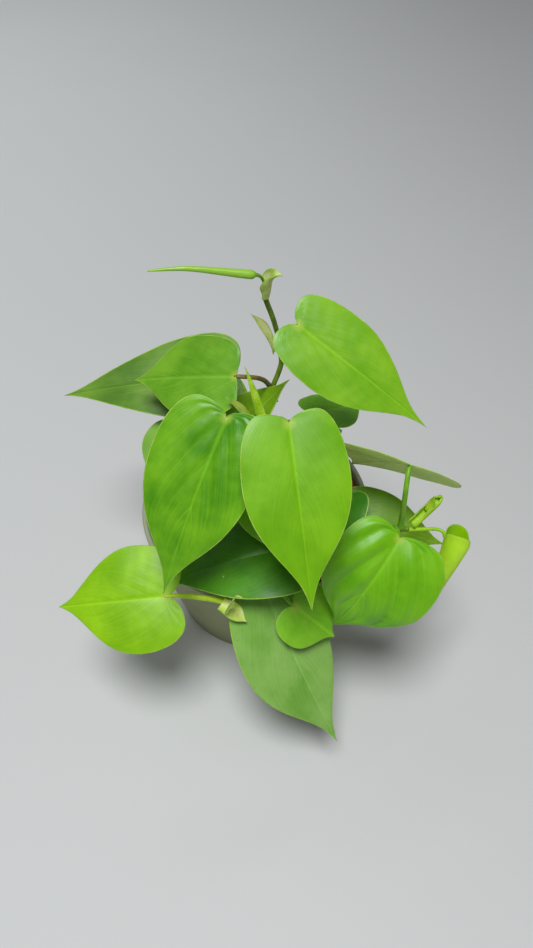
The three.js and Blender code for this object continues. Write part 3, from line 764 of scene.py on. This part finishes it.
def sheath_material(name, deep, light):
    """Thin papery tissue with fine veins that run its length and browner patches."""
    shader = Shader(
        name, Specular_IOR_Level=0.4, Subsurface_Weight=0.35, Subsurface_Scale=SKIN_DEPTH,
        Subsurface_Radius=(0.8, 1.0, 0.35),
    )
    across = shader.split(shader.mapped("vein"))[0]
    place = shader.place()
    clouds = shader.noise(place, 200, 3)
    line = shader.math("PINGPONG", shader.times(across, 5.5), 0.5)
    line = shader.ramp(line, 0.0, 0.22, 1, 0)
    colour = shader.drift(clouds, 0.36, 0.64, deep, light)
    colour = shader.mix(shader.times(line, 0.3), colour, "7f9a34")
    tan = shader.ramp(shader.noise(place, 130, 4), 0.56, 0.72, 0, 0.35)
    colour = shader.mix(tan, colour, "b09a62")
    height = shader.plus(shader.times(line, 0.8), shader.noise(place, 900, 2))
    roughness = shader.ramp(clouds, 0.3, 0.7, 0.42, 0.58)
    return shader.finish(colour, roughness, shader.bump(height, 0.5, 0.0002))


def pot_material():
    """Matte grey-green glazed cover pot: faint mottling, fine grain and a painted highlight on the rim."""
    shader = Shader("cover_pot_glaze", Specular_IOR_Level=0.35)
    place = shader.place()
    clouds = shader.noise(place, 28, 5, 0.6)
    specks = shader.noise(place, 900, 2, 0.7)
    height = shader.split(place)[2]
    colour = shader.drift(clouds, 0.35, 0.65, "8b9168", "9aa078")
    colour = shader.mix(shader.ramp(specks, 0.62, 0.78, 0, 0.3), colour, "5f6552")
    # Painted highlight: the top of the rim is painted pale grey, as where the light falls on it.
    colour = shader.mix(shader.ramp(height, 0.0745, 0.0772, 0, 0.55), colour, "a9ad9a")
    rings = shader.math("PINGPONG", shader.times(height, 900), 0.5)
    relief = shader.plus(shader.times(rings, 0.06), shader.times(specks, 0.5))
    roughness = shader.ramp(clouds, 0.3, 0.7, 0.5, 0.64)
    return shader.finish(colour, roughness, shader.bump(relief, 0.35, 0.0002))


def nursery_material():
    """Thin brick-red moulded plastic, scuffed, with patches of soil dust."""
    shader = Shader(
        "nursery_plastic", Specular_IOR_Level=0.5, Subsurface_Weight=0.05, Subsurface_Scale=SKIN_DEPTH
    )
    place = shader.place()
    clouds = shader.noise(place, 45, 4, 0.6)
    dust = shader.noise(place, 260, 5, 0.7)
    scuffs = shader.noise(shader.stretched(place, (1, 1, 9)), 160, 3)
    colour = shader.drift(clouds, 0.35, 0.65, "a8391f", "bf4a2a")
    colour = shader.mix(shader.ramp(dust, 0.55, 0.75, 0, 0.45), colour, "6b4632")
    colour = shader.mix(shader.ramp(scuffs, 0.62, 0.75, 0, 0.3), colour, "cf7a5c")
    roughness = shader.ramp(dust, 0.3, 0.7, 0.42, 0.62)
    return shader.finish(colour, roughness, shader.bump(scuffs, 0.3, 0.00015))


def earth_material(name, deep, light, rough, scale):
    """Rough dull crumbs, bark or stone in two tones."""
    shader = Shader(name, Specular_IOR_Level=0.2)
    place = shader.place()
    clouds = shader.noise(place, scale, 6, 0.7)
    colour = shader.drift(clouds, 0.35, 0.65, deep, light)
    coarse = shader.noise(place, scale * 2.2, 5, 0.75)
    roughness = shader.ramp(coarse, 0.3, 0.7, rough - 0.12, rough)
    return shader.finish(colour, roughness, shader.bump(coarse, 0.9, 0.0008))


def floor_material():
    """A plain pale matte floor."""
    shader = Shader("studio_floor", Specular_IOR_Level=0.2)
    clouds = shader.noise(shader.place(), 3, 3)
    colour = shader.mix(clouds, (0.68, 0.68, 0.67, 1), (0.71, 0.71, 0.7, 1))
    return shader.finish(colour, shader.ramp(clouds, 0.3, 0.7, 0.6, 0.68))


def own(piece, node, slot):
    """The piece rides on the plant's one body and stands for its CAD node; the slot is not used."""
    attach(piece, "root")
    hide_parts(node)
    return piece


# Pots and soil.
def turned(name, profile, materials):
    """A smooth solid of revolution about Z from (radius, height) points that start and end on the axis."""
    points = []
    rings = []
    for radius, height in profile:
        count = 1 if radius < 1e-6 else POT_SIDES
        rings.append((len(points), count))
        for a in turns(POT_SIDES)[:count]:
            points.append((radius * math.cos(a), radius * math.sin(a), height))
    faces = []
    for (low, low_count), (high, high_count) in zip(rings, rings[1:]):
        for i in range(POT_SIDES):
            j = (i + 1) % POT_SIDES
            a, b = low + i % low_count, low + j % low_count
            c, d = high + j % high_count, high + i % high_count
            faces.append(list(dict.fromkeys([a, b, c, d])))
    return make_object(name, points, faces, materials)


def arc(centre, radius, start, stop, count):
    """Points (radius, height) of a rounded corner, from one angle in degrees to another."""
    angles = np.radians(np.linspace(start, stop, count))
    return [(centre[0] + radius * math.cos(a), centre[1] + radius * math.sin(a)) for a in angles]


def cover_radius(height):
    """The outer radius of the cover pot at a height."""
    return COVER_FOOT_RADIUS + (COVER_RIM_RADIUS - COVER_FOOT_RADIUS) * height / COVER_HEIGHT


def nursery_radius(height):
    """The outer radius of the nursery pot at a height below its lip."""
    under = NURSERY_RIM_HEIGHT - NURSERY_LIP_HEIGHT
    slope = (NURSERY_RIM_RADIUS - NURSERY_LIP_STEP - NURSERY_FOOT_RADIUS) / (under - NURSERY_FOOT)
    return NURSERY_FOOT_RADIUS + slope * (height - NURSERY_FOOT)


def make_cover_pot():
    """The plain tapered pot with a rounded rim and foot."""
    lip = COVER_WALL / 2
    rim = arc((COVER_RIM_RADIUS - lip, COVER_HEIGHT - lip), lip, 0, 180, 13)
    low = COVER_FOOT_ROUND
    foot = arc((cover_radius(low) - low, low), low, -90, -10, 6)
    sides = [(cover_radius(z), z) for z in np.linspace(2, COVER_HEIGHT - 2.2, 16)]
    inner = [(cover_radius(z) - COVER_WALL, z) for z in np.linspace(COVER_HEIGHT - 2.2, COVER_FLOOR + 2, 12)]
    profile = [(0, 0)] + foot + sides + rim + inner
    profile += [(cover_radius(COVER_FLOOR) - COVER_WALL - 1.5, COVER_FLOOR), (0, COVER_FLOOR)]
    return own(turned("cover_pot_shell", profile, [pot_material()]), "cover_pot", "cover_pot")


def make_nursery_pot():
    """The thin pot inside, with a thicker lip that steps out at the top."""
    under = NURSERY_RIM_HEIGHT - NURSERY_LIP_HEIGHT
    radius = NURSERY_RIM_RADIUS
    lip = NURSERY_LIP_ROUND
    bottom = NURSERY_FOOT + NURSERY_FLOOR
    thick = NURSERY_WALL + 0.4
    sides = [(nursery_radius(z), z) for z in np.linspace(NURSERY_FOOT + 1, under - 0.3, 14)]
    rim = arc((radius - lip, NURSERY_RIM_HEIGHT - lip), lip, 0, 180, 9)
    inner = [(nursery_radius(z) - NURSERY_WALL, z) for z in np.linspace(under, bottom, 12)]
    profile = [(0, NURSERY_FOOT), (NURSERY_FOOT_RADIUS - lip, NURSERY_FOOT)] + sides
    profile += [(radius - 0.4, under), (radius, under + 0.5)] + rim + [(radius - thick, under + 1.2)] + inner
    profile += [(0, bottom)]
    return own(turned("nursery_pot_shell", profile, [nursery_material()]), "nursery_pot", "nursery_pot")


def value_noise(x, y, seed):
    """Smooth random heights on a unit grid."""
    table = np.random.default_rng(seed).random((64, 64))
    i, j = np.floor(x).astype(int), np.floor(y).astype(int)
    u, v = x - i, y - j
    u, v = u * u * (3 - 2 * u), v * v * (3 - 2 * v)
    a, b = table[i % 64, j % 64], table[(i + 1) % 64, j % 64]
    c, d = table[i % 64, (j + 1) % 64], table[(i + 1) % 64, (j + 1) % 64]
    return (a * (1 - u) + b * u) * (1 - v) + (c * (1 - u) + d * u) * v


def soil_height(x, y):
    """Height of the soil's surface in mm: low mounds, crumbs, and a slight dip at the pot's wall."""
    mounds = value_noise(x / 14 + 9, y / 14 + 5, 3) * 2.4 + value_noise(x / 5 + 3, y / 5 + 7, 4) * 1.5
    crumbs = value_noise(x / 1.7 + 20, y / 1.7 + 20, 5) * 1.2
    return SOIL_TOP - SOIL_SINK + mounds + crumbs - 1.5 * smooth(np.hypot(x, y), 40, 52)


def lump(size, flat):
    """A small uneven stone, chip or crumb: the corners of a rough ball, and its faces."""
    golden = (1 + 5**0.5) / 2
    corners = []
    for a in (-1, 1):
        for b in (-golden, golden):
            corners += [(0, a, b), (a, b, 0), (b, 0, a)]
    corners = unit(np.array(corners, float))
    faces = []
    near = 1.1
    for i in range(12):
        for j in range(i + 1, 12):
            for k in range(j + 1, 12):
                trio = corners[[i, j, k]]
                spread = [np.linalg.norm(trio[m] - trio[m - 1]) for m in range(3)]
                if max(spread) < near:
                    turn = np.dot(np.cross(trio[1] - trio[0], trio[2] - trio[0]), trio[0])
                    faces.append([i, j, k] if turn > 0 else [i, k, j])
    shape = corners * (0.7 + 0.6 * rng.random((12, 1)))
    shape = shape * np.array([1, 0.45 + 0.5 * rng.random(), flat])
    turn = rng.random() * 2 * np.pi
    tilt = (rng.random() - 0.5) * 0.9
    spin = np.array([[math.cos(turn), -math.sin(turn), 0], [math.sin(turn), math.cos(turn), 0], [0, 0, 1]])
    lean = np.array([[math.cos(tilt), 0, math.sin(tilt)], [0, 1, 0], [-math.sin(tilt), 0, math.cos(tilt)]])
    return shape @ lean.T @ spin.T * size, faces


def make_soil():
    """The soil's uneven surface with bark chips, crumbs and perlite lying half sunk in it."""
    reach = nursery_radius(SOIL_TOP - 3) - NURSERY_WALL - 0.1
    rings, sides = SOIL_RINGS, POT_SIDES
    points = [(0, 0, float(soil_height(np.array(0.0), np.array(0.0))))]
    for r in np.linspace(0, reach, rings + 1)[1:]:
        x, y = r * np.cos(turns(sides)), r * np.sin(turns(sides))
        points += np.stack([x, y, soil_height(x, y)], -1).tolist()
    low = NURSERY_FOOT + NURSERY_FLOOR + GAP
    foot = nursery_radius(low) - NURSERY_WALL - GAP
    points += [(foot * math.cos(a), foot * math.sin(a), low) for a in turns(sides)]
    faces = [[0, 1 + i, 1 + (i + 1) % sides] for i in range(sides)]
    for k in range(rings):
        start = 1 + k * sides
        for i in range(sides):
            j = (i + 1) % sides
            faces.append([start + i, start + sides + i, start + sides + j, start + j])
    faces.append([1 + rings * sides + i for i in range(sides)][::-1])
    kinds = [0] * len(faces)
    for kind, count, smallest, largest, flat in SOIL_LUMPS:
        for _ in range(count):
            size = smallest + (largest - smallest) * rng.random() ** 2
            r = (reach - size - 0.4) * math.sqrt(rng.random())
            a = rng.random() * 2 * np.pi
            shape, lump_faces = lump(size, flat)
            x, y = r * math.cos(a), r * math.sin(a)
            z = float(soil_height(np.array(x), np.array(y))) + 0.25 * size
            faces += moved_on(lump_faces, len(points))
            points += (shape + (x, y, z)).tolist()
            kinds += [kind] * len(lump_faces)
    materials = [
        earth_material("soil_crumb", "1f1510", "43301f", 0.95, 420),
        earth_material("soil_bark", "4a3220", "7a5636", 0.85, 240),
        earth_material("soil_perlite", "c9c4b6", "e6e2d8", 0.9, 500),
    ]
    return own(make_object("soil_surface", points, faces, materials, kinds), "soil", "soil")


# Stems.
STEM_CURVES = {name: [(p[0][0], p[0][1], STEM_FOOT)] + list(p) for name, p in STEMS.items()}


def stem_point(name, height):
    """The point of a stem's middle line at a height, at the first place that reaches it."""
    line = through(STEM_CURVES[name], 400)
    above = np.nonzero(line[:, 2] >= height)[0]
    return line[above[0]] if len(above) else line[-1]


def make_stem(name):
    """A stem with slightly swollen nodes where leaves leave it, and short brown roots at some nodes."""
    count = 90
    path = through(STEM_CURVES[name], count)
    share = np.arange(count + 1) / count
    radii = STEM_RADIUS * (1.1 - 0.25 * share)
    heights = [leaf["grows"][1] for leaf in LEAVES.values() if leaf["grows"][0] == name]
    for height in heights:
        knot = stem_point(name, height)
        far = np.linalg.norm(path - knot, axis=1)
        radii = radii * (1 + 0.3 * np.exp(-((far / 1.6) ** 2)))
    radii = radii * (1 + 0.03 * np.sin(share * 31 + len(name)))
    points, faces = tube_mesh(path, radii, STEM_SIDES)
    kinds = [0] * len(faces)
    points = list(points)
    for height in sorted(heights):
        if height > ROOTS_BELOW:
            continue
        foot = stem_point(name, height - 1.5)
        turn = rng.random() * 2 * np.pi
        out = unit(np.array([math.cos(turn), math.sin(turn), -0.5]))
        long = 2.0 + 2.2 * rng.random()
        sag = np.array([0, 0, -0.5 * long])
        steps = np.linspace(0, 1, ROOT_STEPS)
        line = [foot + out * (0.6 + long * t) + sag * t * t for t in steps]
        root, root_faces = tube_mesh(line, ROOT_RADIUS * (1 - 0.6 * steps), ROOT_SIDES)
        faces += moved_on(root_faces, len(points))
        points += list(root)
        kinds += [1] * len(root_faces)
    tones = TALL_STEM_TONES if name == "stem_tall" else STEM_TONES
    materials = [
        plain_growth(name + "_bark", *tones, 0.5, 160, 0.05, 1200, (1, 1, 0.25), 0.0003),
        plain_growth(name + "_root", *ROOT_TONES, 0.75, 300, 0.0, 1500, (1, 1, 1), 0.0003),
    ]
    return own(make_object(name + "_body", points, faces, materials, kinds), name, "stem")


# Leaves.
def stalk_mesh(blade, foot_point):
    """The stalk leaves its stem upwards and meets the blade from below. Its foot is swollen."""
    leaf = blade.leaf
    top = blade.point(0, 0.012)
    ahead = unit(blade.point(0, 0.05) - blade.point(0, 0))
    side = unit(blade.point(0.05, 0.05) - blade.point(-0.05, 0.05))
    normal = np.cross(side, ahead)
    arrival = unit(ahead * leaf["along"] + normal * leaf["below"])
    far = np.linalg.norm(top - foot_point) * leaf["reach"]
    leave = unit(top - foot_point) * (1 - leaf["rise"]) + np.array([0, 0, leaf["rise"]])
    end = top - normal * 0.2
    curve = bezier([foot_point, foot_point + leave * far, end - arrival * far, end], 60)
    path = spaced(curve, 34)
    share = np.linspace(0, 1, len(path))
    radii = leaf["stalk"] * (1.15 - 0.3 * share)
    radii = radii * (1 + 0.35 * np.exp(-((share / 0.07) ** 2))) * (1 - 0.35 * smooth(share, 0.95, 1))
    return tube_mesh(path, radii, STALK_SIDES)


def drop_mesh(blade):
    """A water drop that lies on the blade: a flat dome closed underneath. Points in mm and faces."""
    sides, rings = 20, 5
    across, along = DROP["across"], DROP["along"]
    foot = blade.point(across, along)
    ahead = unit(blade.point(across, along + 0.02) - foot)
    normal = blade.facing(across, along)
    side = np.cross(ahead, normal)
    centre = foot + normal * BLADE_THICKNESS / 2
    points = []
    for lift in np.linspace(0, 0.92, rings):
        for turn in turns(sides):
            out = DROP["radius"] * math.sqrt(1 - lift**2)
            flat = out * (math.cos(turn) * side + math.sin(turn) * ahead)
            points.append(centre + flat + normal * (DROP["height"] * lift))
    return np.array(points), ring_faces(rings, sides)


def water_material():
    """Water over the green of the leaf: very smooth, with a faint ripple."""
    shader = Shader("water", Roughness=0.06, Specular_IOR_Level=0.6)
    ripple = shader.noise(shader.place(), 700, 2)
    colour = shader.mix(ripple, "5e9c22", "74ae3a")
    return shader.finish(colour, normal=shader.bump(ripple, 0.1, 0.0001))


def make_leaf(name, settings, phase):
    """One leaf, a single grown piece: blade, pale margin and stalk."""
    leaf = dict(LEAF, **settings)
    blade = Blade(leaf, phase)
    points, faces, kinds, vein_map, flat_map = blade_mesh(blade, BLADE_THICKNESS, BLADE_ROWS)
    stalk, stalk_faces = stalk_mesh(blade, stem_point(*leaf["grows"]))
    faces += moved_on(stalk_faces, len(points))
    points = np.vstack([points, stalk])
    kinds += [STALK] * len(stalk_faces)
    corners = sum(len(f) for f in stalk_faces)
    if name == DROP["leaf"]:
        drop, drop_faces = drop_mesh(blade)
        faces += moved_on(drop_faces, len(points))
        points = np.vstack([points, drop])
        kinds += [WATER] * len(drop_faces)
        corners += sum(len(f) for f in drop_faces)
    blank = np.zeros((corners, 2))
    maps = {"vein": np.vstack([vein_map, blank]), "flat": np.vstack([flat_map, blank])}
    tones = STALK_TONES.get(name, PLAIN_STALK_TONES)
    materials = [
        blade_material(name + "_upper", leaf, False),
        blade_material(name + "_under", leaf, True),
        MARGIN_MATERIAL,
        plain_growth(name + "_stalk", *tones, 0.42, 150, 0.15, 1100, (1, 1, 0.4)),
    ]
    if name == DROP["leaf"]:
        materials.append(water_material())
    return own(make_object(name + "_blade", points, faces, materials, kinds, maps), name, leaf["slot"])


def make_sheath(name, settings):
    """One sheath, a single grown piece: its strap and, where it has one, the horn beside it."""
    points = np.zeros((0, 3))
    faces, kinds, vein_maps, flat_maps = [], [], [], []
    for strap in [settings] + ([settings["horn"]] if "horn" in settings else []):
        blade = Blade(dict(SHEATH, **strap))
        part, part_faces, part_kinds, vein_map, flat_map = blade_mesh(blade, SHEATH_THICKNESS, SHEATH_ROWS)
        faces += moved_on(part_faces, len(points))
        points = np.vstack([points, part])
        kinds += [0 if kind != MARGIN else 1 for kind in part_kinds]
        vein_maps.append(vein_map)
        flat_maps.append(flat_map)
    deep, light = SHEATH_TONES[name]
    materials = [sheath_material(name + "_tissue", deep, light), MARGIN_MATERIAL]
    maps = {"vein": np.vstack(vein_maps), "flat": np.vstack(flat_maps)}
    return own(make_object(name + "_strap", points, faces, materials, kinds, maps), name, "sheath")


def make_spear():
    """The newest leaf, rolled into a pointed spear with one free edge wound round it."""
    path = through([at for at, _ in SPEAR], 90)
    length = np.concatenate([[0], np.cumsum(np.linalg.norm(np.diff(path, axis=0), axis=1))])
    knots = [int(np.argmin(np.linalg.norm(path - np.array(at), axis=1))) for at, _ in SPEAR]
    radii = np.interp(length, length[knots], [radius for _, radius in SPEAR])
    points, faces = tube_mesh(path, radii, SPEAR_SIDES)
    rings = points.reshape(-1, SPEAR_SIDES, 3)
    middle = rings.mean(axis=1, keepdims=True)
    turn = (np.arange(SPEAR_SIDES)[None, :] / SPEAR_SIDES + np.linspace(0.42, 0.9, len(rings))[:, None]) % 1
    ledge = 1 - 0.16 * turn * smooth(np.linspace(0, 1, len(rings)), 0.3, 0.45)[:, None]
    points = (middle + (rings - middle) * ledge[..., None]).reshape(-1, 3)
    material = plain_growth("spear_skin", "6fae0c", "98c83c", 0.32, 70, 0.15, 900, (0.3, 1, 1))
    return own(make_object("spear_leaf_roll", points, faces, [material]), "spear_leaf", "leaf_bright")


MARGIN_MATERIAL = plain_growth("blade_margin", "8ebc30", "aed45c", 0.5, 200, 0.2)
make_cover_pot()
make_nursery_pot()
make_soil()
for stem_name in STEMS:
    make_stem(stem_name)
for number, (leaf_name, leaf_settings) in enumerate(LEAVES.items()):
    make_leaf(leaf_name, leaf_settings, 0.37 * number)
for sheath_name, sheath_settings in SHEATHS.items():
    make_sheath(sheath_name, sheath_settings)
make_spear()

# Floor, light and camera.
floor_corners = [(x * FLOOR_REACH, y * FLOOR_REACH, 0) for x, y in ((-1, -1), (1, -1), (1, 1), (-1, 1))]
floor = make_object("floor", floor_corners, [[0, 1, 2, 3]], [floor_material()])


def add_lamp(name, place, target, size, power, colour):
    """A round soft lamp that faces a point."""
    lamp = bpy.data.lights.new(name, "AREA")
    lamp.shape = "DISK"
    lamp.size = size
    lamp.energy = power
    lamp.color = colour
    holder = bpy.data.objects.new(name, lamp)
    holder.location = place
    aim = unit(np.array(target) - np.array(place))
    holder.rotation_euler = (math.acos(-aim[2]), 0, math.atan2(aim[0], -aim[1]))
    bpy.context.scene.collection.objects.link(holder)


for lamp_name, lamp_settings in LAMPS.items():
    add_lamp(lamp_name, *lamp_settings)
world = bpy.data.worlds.new("studio")
bpy.context.scene.world = world
world.use_nodes = True
world.node_tree.nodes["Background"].inputs[0].default_value = SKY_COLOUR
world.node_tree.nodes["Background"].inputs[1].default_value = SKY_STRENGTH
bpy.context.scene.view_settings.view_transform = "Standard"

camera_data = bpy.data.cameras.new("camera")
camera_data.sensor_fit = "VERTICAL"
camera_data.sensor_height = SENSOR_HEIGHT
camera_data.lens = SENSOR_HEIGHT * FOCAL_LENGTH / PHOTO_HEIGHT
camera_data.clip_start = 0.01
camera = bpy.data.objects.new("camera", camera_data)
camera.location = CAMERA_PLACE
camera.rotation_euler = (math.radians(CAMERA_TILT), 0, 0)
bpy.context.scene.collection.objects.link(camera)
bpy.context.scene.camera = camera
